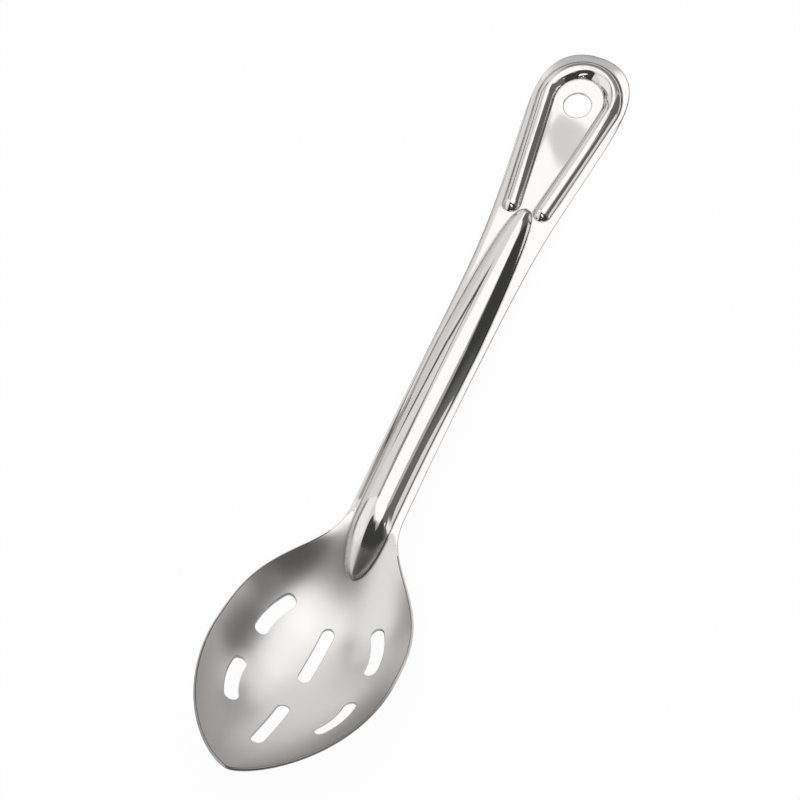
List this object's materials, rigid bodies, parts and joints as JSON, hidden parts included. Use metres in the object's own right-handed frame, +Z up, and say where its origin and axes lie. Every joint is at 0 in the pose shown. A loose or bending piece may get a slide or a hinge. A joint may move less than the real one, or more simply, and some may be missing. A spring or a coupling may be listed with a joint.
{
  "type": "slotted serving spoon",
  "caption": "Serving spoon pressed from stainless sheet: slotted oval bowl, ribbed shank and flared handle end with a raised border and a hanging hole.",
  "frame": {"origin": "middle of the bounding box's bottom face, on the table that the spoon rests on", "axes": "+Y from the bowl's tip to the handle's end, +X across the spoon, +Z up, with the bowl's inside facing up"},
  "size_m": [0.0724, 0.3306, 0.0443],
  "materials": {
    "satin_steel": "fine satin, lightly brushed",
    "polished_steel": "mirror polished stainless steel"
  },
  "bodies": {
    "root": {"bowl": "satin_steel", "shank": "polished_steel", "handle_end": "polished_steel"}
  },
  "joints": []
}
